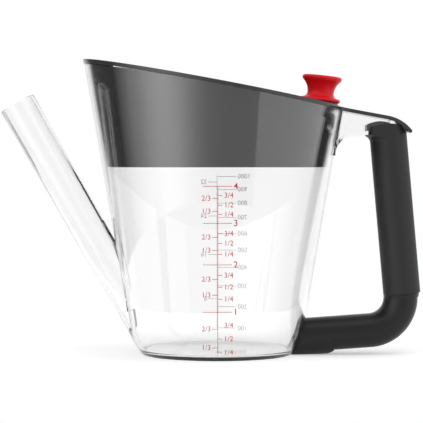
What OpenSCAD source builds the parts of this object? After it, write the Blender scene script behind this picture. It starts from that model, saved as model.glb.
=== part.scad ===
// Gravy fat separator. A clear tapered jug has a low-set spout, a lift-out
// strainer that closes its slanted rim, a stopper kept in the strainer, and a
// handle with a soft grip. Millimetres, +Z up. The origin is on the jug's axis
// at its base, with the spout towards -X and the handle towards +X.

/* [Jug] */
// Outer radius of the base where it meets the table
base_r = 43.2; // [42.3:0.1:44.1]
// Radius that the straight wall would have at the table
wall_r = 47.9; // [47.5:0.1:48.8]
// Lean of the wall from vertical, degrees
wall_draft = 9.8; // [9.4:0.1:10.2]
// Radius of the large curve between wall and base
heel_r = 26.9; // [25.4:0.1:28.1]
// Thickness of the jug's wall
wall_t = 2.4; // [2.1:0.1:2.5]
// Thickness of the jug's floor
floor_t = 2.8; // [2.4:0.1:3.2]
// Height of the rim on the jug's axis
rim_z = 154.5; // [154.2:0.1:154.8]
// Fall of the rim towards the handle, degrees
rim_tilt = 10.5; // [10:0.1:11]

/* [Spout] */
// Lean of the spout from vertical, degrees
spout_tilt = 29.6; // [29.4:0.1:29.8]
// Distance of the mouth's centre from the jug's axis
mouth_x = 116; // [115.5:0.1:116.3]
// Height of the mouth's centre
mouth_z = 145.7; // [144.6:0.1:146.4]
// Outer radius of the spout at its mouth
mouth_r = 10.7; // [10.6:0.1:10.8]
// Outer radius of the spout at its root
root_r = 9.7; // [9.6:0.05:9.75]
// Thickness of the spout's wall
spout_t = 1.8; // [1.7:0.1:1.8]
// Depth of the straight seat inside the mouth
seat_depth = 11; // [9.2:0.1:12.8]
// Height of the drain port's top edge
port_top = 25.4; // [23.6:0.1:28.2]

/* [Handle] */
// Distance of the elbow's centre from the jug's axis
bend_x = 87.8; // [87.4:0.1:88.2]
// Height of the elbow's centre
bend_z = 32.8; // [32.5:0.1:33.3]
// Radius of the elbow along its centre line
bend_r = 19.1; // [19:0.1:19.4]
// Lean of the grip from vertical, degrees
grip_lean = 5.1; // [4.8:0.1:5.3]
// Fall of the lower arm towards the jug, degrees
arm_fall = 4; // [3.5:0.1:4.5]
// Half thickness of the soft grip in the plane of the handle
grip_r = 10.65; // [10.55:0.05:10.85]
// How much further out the grip's centre line is than the core's
grip_shift = 0.9; // [0.7:0.05:1.1]
// Half thickness of the hard core below the grip
core_r = 9.8; // [9.7:0.1:9.9]
// Half thickness of the hidden post inside the grip
post_r = 8.1; // [7.6:0.1:8.4]
// Flat across the sides that makes the section an oval
oval = 2.8; // [2.4:0.1:3.2]

/* [Strainer] */
// Height of the underside of the perforated floor
screen_z = 109; // [108:0.1:109.8]
// Thickness of the basket's wall
basket_t = 1.7; // [1.6:0.1:1.8]
// Thickness of the rim that lies on the jug
flange_t = 2.1; // [2:0.1:2.2]
// Width of the tab over the handle
tab_w = 23.5; // [22.6:0.1:24.4]
// Direction of each vent flute, degrees from the spout
flute_turn = 22; // [20:1:26]
// Radius of a vent flute
flute_r = 4.7; // [3.8:0.1:5.1]
// Diameter of a straining hole
hole_d = 2.8; // [2.5:0.1:2.9]
// Distance between rings of holes
hole_pitch = 6; // [5.7:0.1:6.5]

/* [Stopper] */
// Lean of the stopper from vertical, degrees
stopper_tilt = 6.2; // [5.8:0.1:6.6]
// Distance of the stopper's seat from the jug's axis
stopper_x = 59.6; // [59.4:0.1:59.7]
// Height of the stopper's seat
stopper_z = 146.7; // [146.7:0.1:146.9]
// Radius of the plug where it enters its seat
plug_r = 8.8; // [8.7:0.1:8.8]
// Length of the plug below the flange
plug_len = 11; // [9.2:0.1:11]
// Radius of the stopper's flange
stopper_flange_r = 11.8; // [11.6:0.1:11.9]
// Radius of the waist that is gripped
waist_r = 7.7; // [7.6:0.1:8]
// Radius of the head
head_r = 11.5; // [11.3:0.1:11.6]

/* [Hidden] */
$fn = 96;
far = 400;                 // larger than the whole object, for cutting blocks
top_z = 230;               // above every part of the object

clear_colour = [0.86, 0.88, 0.90, 0.35];
smoke_colour = [0.13, 0.13, 0.14];
rubber_colour = [0.11, 0.11, 0.12];
core_colour = [0.09, 0.09, 0.10];
red_colour = [0.80, 0.02, 0.04];

fit_gap = 0.05;            // between faces that rest on each other
skirt_gap = 0.4;           // between strainer and jug wall
table_gap = 0.15;          // everything but the jug's base stays this far above the table
foot_corner = 1.1;         // rounding of the base's outer edge
floor_corner = 3.8;        // rounding inside, between floor and wall
heel_lap = 0.003;          // how far the wall's foot is set into the heel's curve, to cross it

// The large heel curve touches the wall and ends at the base's edge.
step_in = wall_r - base_r;
heel_run = sqrt(2 * step_in * heel_r * cos(wall_draft) - pow(step_in * cos(wall_draft), 2))
           - step_in * sin(wall_draft);
heel_c = [wall_r + heel_run * sin(wall_draft) - heel_r * cos(wall_draft),
          heel_run * cos(wall_draft) + heel_r * sin(wall_draft)];

// Outer radius of the jug's straight wall, taken in by a wall's thickness
function wall_at(z, inset = 0) = wall_r + z * tan(wall_draft) - inset / cos(wall_draft);

// Clear arm of the jug, a trough with its floor open over the handle's post
arm_w = 20.6;              // width of the arm
arm_t = 2.2;               // thickness of its walls
arm_end = 102.3;           // how far it reaches over the handle
arm_under = [79.1, 126.5]; // a point on its underside
arm_rise = 6.7;            // slope of the underside, degrees
arm_fillet = 6.6;          // curve under the arm at the jug's wall
arm_flare = 4.7;           // curve beside the arm at the jug's wall
arm_mid_z = 136;           // height at which those curves are laid out
socket_x = 89.6;           // front of the opening in the floor

// Lower fixing of the handle
foot_lug = [62, 11.3, 8.4]; // reach, width and height of the lug on the jug
foot_lug_z = 7;            // height of its underside
lower_len = 47;            // length of the lower arm, into the jug's wall
boss_drop = 1.9;           // how much deeper the arm is near the jug
boss_toe = 22.1;           // where that shoulder leaves the arm, from the elbow
boss_start = 25.8;         // where it reaches its full depth
collar_h = [1.9, 0.85];    // flare at the elbow's top, and ring between it and the grip
collar_r = 10.2;           // half thickness of that ring
collar_shift = 0.55;       // how much further out the ring's centre is

// Head of the grip
head_top = 135;            // level that the grip stays below
lip_x = 86.5;              // front of the finger lip
lip_z = 123.8;             // where the lip starts to grow from the grip
lip_curve = 4.7;           // hollow below the lip
lip_lap = 0.05;            // how far inside the grip's face that hollow starts, to cross it
lip_round = 5.6;           // rounding of the lip's upright corners
arch_c = [99.5, 105.7];    // centre of the arch over the grip's sides, beside the arm
arch_r = 28.2;             // radius of that arch
arch_round = 3;            // rounding of the arch's front end
head_inset = 0.2;          // how much narrower the head is than the grip at its widest
tongue_r = 15;             // curve over the top of the core's tongue
tongue_c = [94.3, 120.3];  // centre of that curve

// Curl of the strainer's tab, in the rim's own frame
curl_x = 99.8;             // where the curl starts, along the slope
curl_in = 20.6;            // inner radius of the curl
curl_turn = 41;            // how far it turns, degrees
tab_flare = 11.3;          // curve between tab and rim
tab_ring = 72.3;           // radius of the rim where the tab leaves it
land_x = 53.5;             // front edge of the land that holds the stopper
land_r = 15.5;             // radius of the land round the stopper
seat_r = 10.9;             // outer radius of the stopper's seat
seat_len = 8.4;            // depth of the seat
seat_play = 0.2;           // between plug and seat
screen_t = 1.9;            // thickness of the perforated floor
ring_turn = 11;            // how far each ring of holes is turned from the last, degrees
flute_out = 2.4;           // how far a flute's centre line stands out of the skirt
flute_top = 155;           // height at which a flute's round end starts
skirt_in = wall_t + skirt_gap;
cavity_in = skirt_in + basket_t;

// The spout runs down its axis to a point near the floor.
root_z = 3.8;
port_sill = 15.5;          // height of the drain port's lower edge
spout_len = (mouth_z - root_z) / cos(spout_tilt);
spout_foot = 5.1;          // height at which the spout has sunk into the heel's curve
web_z = [56.3, 77.9];      // bottom and top of the web between spout and jug
web_t = 3.8;               // thickness of the web

// ---- frames that sub-parts are built in ----

module in_rim_frame(lift = 0) {
    translate([0, 0, rim_z]) rotate([0, rim_tilt, 0]) translate([0, 0, lift]) children();
}

module in_spout_frame() {
    translate([-mouth_x, 0, mouth_z]) rotate([0, -spout_tilt, 0]) children();
}

// X and Y here are the object's X and Z, about the elbow's centre.
module in_bend_frame(turn = 0) {
    translate([bend_x, 0, bend_z]) rotate([90, 0, 0]) rotate([0, 0, turn]) children();
}

module in_stopper_frame() {
    translate([stopper_x, 0, stopper_z]) rotate([0, stopper_tilt, 0]) children();
}

// Side view drawn in X and Z, as thick as width and centred on the object
module side_extrude(width = far) {
    rotate([90, 0, 0]) linear_extrude(width, center = true) children();
}

module above_rim(lift = 0) {
    in_rim_frame(lift) translate([-far / 2, -far / 2, 0]) cube(far);
}

module below(height) {
    translate([-far / 2, -far / 2, height - far]) cube(far);
}

// ---- the jug ----

// Half section of the jug, taken in from its outside by inset
module jug_section(inset, corner, floor_z) {
    curve = heel_r - inset;
    wall_foot = heel_c + curve * [cos(wall_draft), -sin(wall_draft)];
    corner_z = floor_z + corner;
    corner_x = heel_c.x + sqrt(pow(curve - corner, 2) - pow(heel_c.y - corner_z, 2));
    join_z = heel_c.y - curve * (heel_c.y - corner_z) / (curve - corner);
    translate([0, floor_z]) square([corner_x, heel_c.y - floor_z]);
    translate([corner_x, corner_z]) circle(corner);
    intersection() {
        translate(heel_c) circle(curve);
        translate([0, join_z]) square([far, heel_c.y - join_z]);
    }
    polygon([[0, wall_foot.y], wall_foot - [heel_lap, 0], [wall_at(top_z, inset), top_z], [0, top_z]]);
}

module jug_outside() {
    rotate_extrude() jug_section(0, foot_corner, 0);
}

module jug_inside() {
    rotate_extrude() jug_section(wall_t, floor_corner, floor_t);
}

// The drain port is where the spout's bore passes through the lower wall. Below
// its sill the bore would only thin the wall without reaching the outside.
module drain_port() {
    intersection() {
        spout_bore(10);
        translate([-far / 2, -far / 2, port_sill]) cube([far, far, port_top - port_sill]);
    }
}

module handle_lug(play = 0) {
    translate([heel_c.x, -foot_lug.y / 2 - play, foot_lug_z - play])
        cube([foot_lug.x - heel_c.x + play, foot_lug.y + 2 * play, foot_lug.z + 2 * play]);
}

module jug_vessel() {
    color(clear_colour) {
        difference() {
            union() {
                difference() {
                    jug_outside();
                    above_rim();
                }
                handle_lug();
            }
            jug_inside();
            drain_port();
        }
    }
}

// Plan of an arm that leaves a round wall, with a hollow curve on each side
module arm_plan(ring_r, half_w, flare, inset = 0) {
    centre = [sqrt(pow(ring_r + flare, 2) - pow(half_w + flare, 2)), half_w + flare];
    touch = centre * ring_r / (ring_r + flare);
    side_y = half_w - inset;
    difference() {
        polygon([[0, 0], touch, [centre.x, side_y], [far, side_y],
                 [far, -side_y], [centre.x, -side_y], [touch.x, -touch.y]]);
        for (side = [-1, 1]) translate([centre.x, side * centre.y]) circle(flare + inset);
    }
}

// Side view of the clear arm, with the curve that runs into the jug's wall
module arm_side(inset) {
    slope = tan(arm_rise);
    corner_z = (arm_under.y + (wall_r - arm_under.x) * slope) / (1 - slope * tan(wall_draft));
    corner = [wall_at(corner_z), corner_z];
    run = arm_fillet / tan((90 + wall_draft + arm_rise) / 2);
    foot = corner - run * [sin(wall_draft), cos(wall_draft)];
    toe = corner + run * [cos(arm_rise), sin(arm_rise)];
    start = toe + inset * [-sin(arm_rise), cos(arm_rise)];
    end_x = arm_end - inset;
    difference() {
        polygon([[base_r, foot.y], foot, start, [end_x, start.y + (end_x - start.x) * slope],
                 [end_x, top_z], [base_r, top_z]]);
        translate(toe + arm_fillet * [sin(arm_rise), -cos(arm_rise)]) circle(arm_fillet + inset);
    }
}

// The plan stands square to the leaning wall, so that its curves follow the taper.
module arm_block(inset = 0) {
    ring_r = wall_at(arm_mid_z) / cos(wall_draft);
    intersection() {
        side_extrude() arm_side(inset);
        translate([wall_at(arm_mid_z), 0, arm_mid_z]) rotate([0, wall_draft, 0])
            translate([-ring_r, 0, -far / 2])
                linear_extrude(far) arm_plan(ring_r, arm_w / 2, arm_flare, inset);
    }
}

// Opening in the trough's floor, closed by the handle's core
module socket_hole(play = 0) {
    half_w = arm_w / 2 - arm_t - play;
    translate([socket_x + play, -half_w, lip_z])
        cube([arm_end - arm_t - socket_x - 2 * play, 2 * half_w, head_top - lip_z - arm_t]);
}

module jug_arm() {
    color(clear_colour) {
        difference() {
            arm_block();
            arm_block(arm_t);
            socket_hole();
            jug_outside();
            above_rim();
            over_curl(fit_gap);
        }
    }
}

// ---- the spout ----

module spout_outside() {
    in_spout_frame() translate([0, 0, -spout_len]) cylinder(h = spout_len, r1 = root_r, r2 = mouth_r);
}

// Straight seat in the mouth, then a bore that narrows towards the root
module spout_bore(beyond = 0) {
    narrowing = (mouth_r - root_r) / spout_len;
    in_spout_frame() {
        translate([0, 0, -seat_depth]) cylinder(h = seat_depth + 1, r = mouth_r - spout_t);
        translate([0, 0, -spout_len - beyond])
            cylinder(h = spout_len + beyond - seat_depth / 2,
                     r1 = root_r - spout_t - narrowing * beyond,
                     r2 = mouth_r - spout_t - narrowing * seat_depth / 2);
    }
}

module spout_web() {
    function axis_at(z) = -mouth_x + (mouth_z - z) * tan(spout_tilt);
    side_extrude(web_t)
        polygon([[axis_at(web_z[0]), web_z[0]], [axis_at(web_z[1]), web_z[1]],
                 [1 - wall_at(web_z[1]), web_z[1]], [1 - wall_at(web_z[0]), web_z[0]]]);
}

module spout_tube() {
    color(clear_colour) {
        difference() {
            union() {
                spout_outside();
                spout_web();
            }
            spout_bore(1);
            jug_outside();
            below(spout_foot);
        }
    }
}

// ---- the handle ----

module oval_section(radius) {
    for (side = [-1, 1]) translate([0, side * oval / 2]) circle(radius);
    square([2 * radius, oval], center = true);
}

// Straight stretch up from the elbow, along the grip's lean
module handle_upright(radius, length, from = 0, shift = 0) {
    in_bend_frame(grip_lean) translate([bend_r + shift, from, 0])
        rotate([-90, 0, 0]) linear_extrude(length) oval_section(radius);
}

// Straight stretch from the elbow towards the jug
module handle_lower(radius, length, from = 0, drop = 0) {
    in_bend_frame(arm_fall - 90) translate([bend_r + drop, -from, 0])
        rotate([90, 0, 0]) linear_extrude(length) oval_section(radius);
}

module elbow() {
    in_bend_frame(arm_fall - 90) rotate_extrude(angle = 90 - arm_fall + grip_lean)
        translate([bend_r, 0]) oval_section(core_r);
}

// Ring that the grip ends on, over a flare that grows out of the elbow
module collar() {
    low_r = core_r - 0.1;
    handle_upright(collar_r, collar_h[1], 0, collar_shift);
    in_bend_frame(grip_lean) translate([bend_r + collar_shift, -collar_h[0], 0]) {
        for (side = [-1, 1]) translate([0, 0, side * oval / 2])
            rotate([-90, 0, 0]) cylinder(h = collar_h[0], r1 = low_r, r2 = collar_r);
        linear_extrude(oval, center = true)
            polygon([[-low_r, 0], [low_r, 0], [collar_r, collar_h[0]], [-collar_r, collar_h[0]]]);
    }
}

// Deeper end of the lower arm, with a sloping shoulder under it
module arm_boss() {
    under = bend_r + core_r;
    intersection() {
        handle_lower(core_r, lower_len - boss_toe, boss_toe, boss_drop);
        in_bend_frame(arm_fall - 90) linear_extrude(far, center = true)
            polygon([[bend_r, -boss_toe], [under, -boss_toe], [under + boss_drop, -boss_start],
                     [under + boss_drop, -far], [bend_r, -far]]);
    }
}

// Block inside the arm's trough, with a rounded top, over the opening in its floor
module tongue() {
    intersection() {
        arm_block(arm_t + fit_gap);
        side_extrude() translate(tongue_c) circle(tongue_r);
        translate([lip_x, -arm_w / 2, lip_z]) cube(arm_w);
    }
    intersection() {
        socket_hole(fit_gap);
        side_extrude() translate(tongue_c) circle(tongue_r - 1);
    }
}

module handle_core() {
    color(core_colour) {
        difference() {
            union() {
                handle_upright(post_r, (arm_under.y - bend_z) / cos(grip_lean));
                collar();
                elbow();
                handle_lower(core_r, lower_len);
                arm_boss();
            }
            jug_outside();
            handle_lug(fit_gap);
            arm_block();
            below(table_gap);
        }
        tongue();
    }
}

// Half section of a solid that widens upwards with a hollow curve
module flare_side() {
    edge = grip_r - lip_lap + lip_curve;
    difference() {
        square([edge, head_top - lip_z]);
        translate([edge, 0]) circle(lip_curve);
    }
}

// The grip's section, widening upwards all round from the height of the lip
module flared_grip() {
    rise = (lip_z - bend_z) / cos(grip_lean) - (bend_r + grip_shift) * tan(grip_lean);
    in_bend_frame(grip_lean) translate([bend_r + grip_shift, rise, 0]) {
        for (side = [-1, 1]) translate([0, 0, side * oval / 2])
            rotate([-90, 0, 0]) rotate_extrude() flare_side();
        linear_extrude(oval, center = true) {
            flare_side();
            mirror([1, 0]) flare_side();
        }
    }
}

// Plan of the head from its rounded front to a place inside the grip
module head_plan() {
    half_w = grip_r + oval / 2 - head_inset;
    for (side = [-1, 1]) translate([lip_x + lip_round, side * (half_w - lip_round)]) circle(lip_round);
    translate([lip_x, lip_round - half_w]) square([arch_c.x - lip_x, 2 * (half_w - lip_round)]);
    translate([lip_x + lip_round, -half_w]) square([arch_c.x - lip_x - lip_round, 2 * half_w]);
}

// Side view of the room under the arch, which is rounded into the lip's upright face
module arch_side() {
    corner_x = lip_x + arch_round;
    corner = [corner_x, arch_c.y + sqrt(pow(arch_r - arch_round, 2) - pow(arch_c.x - corner_x, 2))];
    outward = (corner - arch_c) / (arch_r - arch_round);
    difference() {
        union() {
            translate(arch_c) circle(arch_r);
            translate([lip_x, 0]) square([2 * arch_r, arch_c.y]);
        }
        square([lip_x, top_z]);
        difference() {
            polygon([corner, corner - [arch_r, 0], corner + arch_r * outward]);
            translate(corner) circle(arch_round);
        }
    }
}

// Everything above and behind the curl's underside, and as far below it as the gap
module over_curl(gap) {
    in_rim_frame() translate([curl_x, 0, -curl_in]) rotate([90, 0, 0]) difference() {
        translate([0, 0, -far / 2]) cube(far);
        translate([0, 0, -far]) cylinder(h = 2 * far, r = curl_in - gap);
    }
}

module soft_grip() {
    color(rubber_colour) {
        difference() {
            intersection() {
                union() {
                    handle_upright(grip_r, head_top, collar_h[1], grip_shift);
                    intersection() {
                        flared_grip();
                        linear_extrude(top_z) head_plan();
                    }
                }
                side_extrude() arch_side();
            }
            over_curl(skirt_gap);
            handle_upright(post_r, head_top);
            socket_hole();
            arm_block();
        }
    }
}

// ---- the strainer ----

// Solid that fills the jug's taper, taken in by inset, from one height to another
module taper(inset, from, to = top_z) {
    translate([0, 0, from])
        cylinder(h = to - from, r1 = wall_at(from, inset), r2 = wall_at(to, inset));
}

module rim_slab() {
    in_rim_frame(fit_gap) translate([-far / 2, -far / 2, 0]) cube([far, far, flange_t]);
}

// Vent flutes beside the spout: round grooves that follow the wall and end in a dome
module flutes(radius) {
    for (side = [-1, 1])
        rotate(180 + side * flute_turn) translate([wall_at(screen_z, skirt_in) + flute_out, 0, screen_z])
            rotate([0, wall_draft, 0]) {
                length = (flute_top - screen_z) / cos(wall_draft);
                translate([0, 0, -far / 8]) cylinder(h = length + far / 8, r = radius);
                translate([0, 0, length]) sphere(radius);
            }
}

// Land behind the basket, level with the rim, that the stopper stands in
module stopper_land() {
    intersection() {
        rim_slab();
        taper(wall_t, screen_z);
        union() {
            translate([land_x, -far / 2, screen_z]) cube(far);
            translate([stopper_x, 0, screen_z]) cylinder(h = far, r = land_r);
        }
    }
}

module stopper_seat() {
    in_stopper_frame() translate([0, 0, -seat_len]) cylinder(h = seat_len, r = seat_r);
}

// The bore for the plug, and a flat sunk into the land for the stopper's flange
module stopper_room() {
    in_stopper_frame() {
        translate([0, 0, -2 * seat_len]) cylinder(h = 3 * seat_len, r = plug_r + seat_play);
        cylinder(h = seat_len, r = stopper_flange_r + skirt_gap);
    }
}

// Side view of the tab as a bent sheet, filled below, taken in by inset
module tab_side(inset) {
    translate([0, -curl_in]) square([curl_x, curl_in + flange_t - inset]);
    translate([curl_x, -curl_in]) circle(curl_in + flange_t - inset);
}

// Flat tab over the handle that curls down to a round end
module tab() {
    end_r = curl_in + flange_t / 2;
    in_rim_frame(fit_gap) intersection() {
        side_extrude() {
            difference() {
                tab_side(0);
                tab_side(flange_t);
                translate([curl_x, -curl_in]) rotate(90 - curl_turn) translate([0, -far]) square(far);
                translate([-far, -far]) square([2 * far, far - curl_in]);
            }
            translate([curl_x + end_r * sin(curl_turn), end_r * cos(curl_turn) - curl_in])
                circle(flange_t / 2);
        }
        translate([0, 0, -far / 2]) linear_extrude(far) difference() {
            arm_plan(tab_ring, tab_w / 2, tab_flare);
            circle(tab_ring - tab_flare);
        }
    }
}

module strainer_basket() {
    color(smoke_colour) {
        difference() {
            union() {
                difference() {
                    union() {
                        difference() {
                            taper(skirt_in, screen_z);
                            above_rim(fit_gap + flange_t / 2);
                        }
                        intersection() {
                            rim_slab();
                            taper(-skirt_gap, screen_z);
                        }
                        tab();
                    }
                    difference() {
                        taper(cavity_in, screen_z - 1);
                        flutes(flute_r + basket_t);
                    }
                    flutes(flute_r);
                }
                stopper_land();
                intersection() {
                    stopper_seat();
                    taper(skirt_in, screen_z);
                }
            }
            stopper_room();
        }
    }
}

// Rings of holes fill the floor, as many to a ring as the pitch allows
module strainer_screen() {
    rings = floor((wall_at(screen_z, cavity_in) - hole_d) / hole_pitch);
    color(smoke_colour) {
        difference() {
            taper(cavity_in, screen_z, screen_z + screen_t);
            flutes(flute_r + basket_t);
            translate([0, 0, screen_z - 1]) linear_extrude(screen_t + 2) {
                circle(d = hole_d);
                for (ring = [1:rings]) {
                    count = floor(2 * PI * ring);
                    for (i = [0:count - 1])
                        rotate(i * 360 / count + ring * ring_turn)
                            translate([ring * hole_pitch, 0]) circle(d = hole_d);
                }
            }
        }
    }
}

// ---- the stopper ----

// Turned shape: plug, rounded flange, waist drawn in by a hollow curve, and head
module stopper() {
    flange_h = 2.3;
    waist_h = 5.3;
    head_h = 13.8;
    edge = 1.3;
    hollow_low = waist_h - flange_h;
    hollow_high = 9.4;
    tip = 0.9;
    color(red_colour) in_stopper_frame() translate([0, 0, fit_gap]) rotate_extrude() {
        polygon([[0, -plug_len], [plug_r - 1.5 * tip, -plug_len], [plug_r - tip / 2, tip - plug_len],
                 [plug_r, -tip], [plug_r, tip], [0, tip]]);
        square([stopper_flange_r - flange_h / 2, flange_h]);
        translate([stopper_flange_r - flange_h / 2, flange_h / 2]) circle(flange_h / 2);
        difference() {
            square([waist_r + hollow_low, waist_h]);
            translate([waist_r + hollow_low, waist_h]) circle(hollow_low);
        }
        difference() {
            translate([0, waist_h]) square([head_r - 0.4, head_h - waist_h]);
            translate([waist_r + hollow_high, waist_h]) circle(hollow_high);
        }
        translate([head_r - edge, head_h]) circle(edge);
        translate([0, head_h - edge]) square([head_r - edge, 2 * edge]);
    }
}

jug_vessel();
jug_arm();
spout_tube();
handle_core();
soft_grip();
strainer_basket();
strainer_screen();
stopper();
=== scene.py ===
import math

import bpy
import bmesh
from bpy.props import FloatProperty, FloatVectorProperty, IntProperty, PointerProperty
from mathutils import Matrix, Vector


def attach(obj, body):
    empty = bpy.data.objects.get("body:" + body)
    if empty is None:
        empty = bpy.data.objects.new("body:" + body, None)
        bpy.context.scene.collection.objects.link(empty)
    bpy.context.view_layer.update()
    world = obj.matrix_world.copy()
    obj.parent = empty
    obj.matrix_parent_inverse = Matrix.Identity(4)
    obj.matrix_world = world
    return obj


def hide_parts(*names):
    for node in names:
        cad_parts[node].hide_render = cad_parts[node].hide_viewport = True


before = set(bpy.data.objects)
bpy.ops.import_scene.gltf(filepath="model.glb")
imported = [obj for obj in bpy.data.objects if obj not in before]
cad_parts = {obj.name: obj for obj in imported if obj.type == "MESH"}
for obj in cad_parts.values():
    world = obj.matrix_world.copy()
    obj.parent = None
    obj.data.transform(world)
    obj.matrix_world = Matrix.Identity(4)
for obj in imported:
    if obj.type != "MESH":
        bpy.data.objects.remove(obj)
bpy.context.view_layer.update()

bl_info = {
    "name": "Gravy fat separator",
    "version": (1, 0, 0),
    "blender": (4, 5, 0),
    "location": "3D View > Sidebar > Fat separator",
    "description": "Clear jug, printed scale, materials and stage for a gravy fat separator",
    "category": "Object",
}

MM = 0.001

# Joining solids: how close points are merged, the largest hole that is filled, and how a join that
# leaves a gap is tried again, each time with the tool moved on by JOIN_NUDGE.
WELD = 0.001 * MM
JOIN_WELD = 0.003 * MM
HOLE_SIDES = 6
JOIN_TRIES = 5
JOIN_NUDGE = Vector((0.003, 0.007, 0.005)) * MM

# Edges flatter than this are shaded smooth.
SMOOTH_ANGLE = math.radians(30)

# The jug. The wall is drawn up to PROFILE_TOP before the rim is cut, the spout and the arm reach LAP
# deep into it, and LUG is the block at its foot that the handle's lower arm holds.
BASE_CORNER = 1.1 * MM
FLOOR_CORNER = 3.8 * MM
PROFILE_TOP = 216 * MM
WALL_RINGS = 26
LAP = 0.6 * MM
LUG = ((49 * MM, -5.65 * MM, 7 * MM), (62 * MM, 5.65 * MM, 15.4 * MM))

# The spout and its web. The spout is drawn down to SPOUT_FOOT and cut off at SPOUT_CUT, where it has
# sunk into the heel. The insets here and below keep a cutter's faces off those already there.
SPOUT_STEPS = 128
SPOUT_FOOT = 3.8 * MM
SPOUT_CUT = 5.1 * MM
PORT_INSET = 0.06 * MM
WEB_LOW = 56.3 * MM
WEB_TOP = 77.9 * MM
WEB_WIDTH = 3.8 * MM

# The arm: a point of its underside, the height on the wall at which its plan is drawn, how high it is
# drawn before the rim is cut, and the opening for the handle's tongue.
ARM_UNDER = (79.1 * MM, 126.5 * MM)
ARM_MIDDLE = 136 * MM
ARM_TOP = 210 * MM
SOCKET_START = 89.6 * MM
SOCKET_LOW = 120 * MM
SOCKET_TOP = 132.8 * MM
SOCKET_INSET = 0.07 * MM
CURL_INSET = 0.05 * MM

# Heights of the printed marks over the table, in millimetres, from the top mark down. BARE_QUARTER
# has no tick.
WHOLE_MARKS = (("4", 98.41), ("3", 78.01), ("2", 54.90), ("1", 28.30))
QUARTER_MARKS = (
    ("3/4", 93.41), ("1/2", 88.06), ("1/4", 82.93), ("3/4", 72.24), ("1/2", 66.86), ("1/4", 60.80),
    ("3/4", 48.98), ("1/2", 42.38), ("1/4", 35.66), ("1/2", 13.14), ("1/4", 5.16))
BARE_QUARTER = ("3/4", 20.9)
THIRD_MARKS = (
    ("2/3", 91.75), ("1/3", 84.58), ("2/3", 70.25), ("1/3", 62.97),
    ("2/3", 46.80), ("1/3", 37.90), ("2/3", 18.73), ("1/3", 8.05))
HUNDRED_MARKS = (
    ("1000", 102.8), ("900", 94.8), ("800", 86.5), ("700", 77.7), ("600", 67.9),
    ("500", 57.9), ("400", 47.4), ("300", 36.2), ("200", 23.7), ("100", 10.8))
EIGHT_MARKS = (("32", 99.4), ("24", 78.6), ("16", 55.2), ("8", 28.5))

# Where the printing stands, from the jug's middle towards the reader's right.
FRONT_LINE = 0.3 * MM
WHOLE_TICK = (-7.9 * MM, 8.1 * MM)
WHOLE_TEXT = 8.96 * MM
QUARTER_TICK = (FRONT_LINE, 2.86 * MM)
QUARTER_TEXT = 3.7 * MM
THIRD_TICK = (-2.93 * MM, FRONT_LINE)
THIRD_TEXT = -3.5 * MM
BACK_LINE = -0.2 * MM
HUNDRED_TICK = (-12.2 * MM, BACK_LINE)
HUNDRED_TEXT = -13.1 * MM
EIGHT_TICK = (BACK_LINE, 5.4 * MM)
EIGHT_TEXT = 6.0 * MM

# How much the strokes of the whole numbers are thickened.
WHOLE_BOLD = 0.04 * MM

# Laying ink on the wall: its squares, how far out it starts, and how far off the wall it stays.
# Ink that is still beyond INK_LIMIT has missed the wall.
INK_SQUARE = 0.8 * MM
INK_WELD = 0.01 * MM
INK_START = 200 * MM
INK_LIMIT = 100 * MM
INK_GAP = 0.02 * MM

# Bearings of the room's lights, in degrees from the camera's side towards the handle's.
# The wide light ends sharply, square to WIDE_EDGE.
ROUND_LIGHT = -50
WIDE_LIGHT = 60
WIDE_EDGE = 129
BACKDROP = 180
DARK_CARD = -122

# How narrow the round light is, and the point that the lamp is turned to.
ROUND_FOCUS = 8.0
LAMP_AIM = Vector((0, 0, 90 * MM))


# ---- settings ----


class JugSettings(bpy.types.PropertyGroup):
    base_radius: FloatProperty(
        name="Base radius", description="Outer radius of the base", default=43.2 * MM, unit="LENGTH")
    wall_radius: FloatProperty(
        name="Wall radius", description="Radius the straight wall would have at the table",
        default=47.9 * MM, unit="LENGTH")
    wall_lean: FloatProperty(
        name="Wall lean", description="Lean of the wall from vertical",
        default=math.radians(9.8), subtype="ANGLE")
    heel_radius: FloatProperty(
        name="Heel radius", description="Curve between wall and base", default=26.9 * MM, unit="LENGTH")
    wall: FloatProperty(
        name="Wall", description="Thickness of the wall", default=2.4 * MM, unit="LENGTH")
    floor: FloatProperty(
        name="Floor", description="Thickness of the floor", default=2.8 * MM, unit="LENGTH")
    rim_height: FloatProperty(
        name="Rim height", description="Height of the rim on the axis", default=154.5 * MM, unit="LENGTH")
    rim_fall: FloatProperty(
        name="Rim fall", description="Fall of the rim towards the handle",
        default=math.radians(10.5), subtype="ANGLE")
    steps: IntProperty(
        name="Steps", description="Segments round the jug", default=192, min=48, max=256)
    colour: FloatVectorProperty(
        name="Colour", description="Tint of the clear plastic", default=(0.98, 0.98, 0.98), size=3,
        min=0, max=1, subtype="COLOR")


class SpoutSettings(bpy.types.PropertyGroup):
    lean: FloatProperty(
        name="Lean", description="Lean of the spout from vertical",
        default=math.radians(29.6), subtype="ANGLE")
    mouth_x: FloatProperty(
        name="Mouth distance", description="Distance of the mouth from the axis",
        default=116 * MM, unit="LENGTH")
    mouth_z: FloatProperty(
        name="Mouth height", description="Height of the mouth's centre",
        default=145.7 * MM, unit="LENGTH")
    mouth_radius: FloatProperty(
        name="Mouth radius", description="Outer radius at the mouth", default=10.7 * MM, unit="LENGTH")
    root_radius: FloatProperty(
        name="Root radius", description="Outer radius at the root", default=9.7 * MM, unit="LENGTH")
    wall: FloatProperty(
        name="Wall", description="Thickness of the spout's wall", default=1.8 * MM, unit="LENGTH")
    seat: FloatProperty(
        name="Seat", description="Depth of the straight seat in the mouth",
        default=11 * MM, unit="LENGTH")
    port_low: FloatProperty(
        name="Port sill", description="Lower edge of the drain port", default=15.5 * MM, unit="LENGTH")
    port_top: FloatProperty(
        name="Port top", description="Upper edge of the drain port", default=25.4 * MM, unit="LENGTH")


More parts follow.
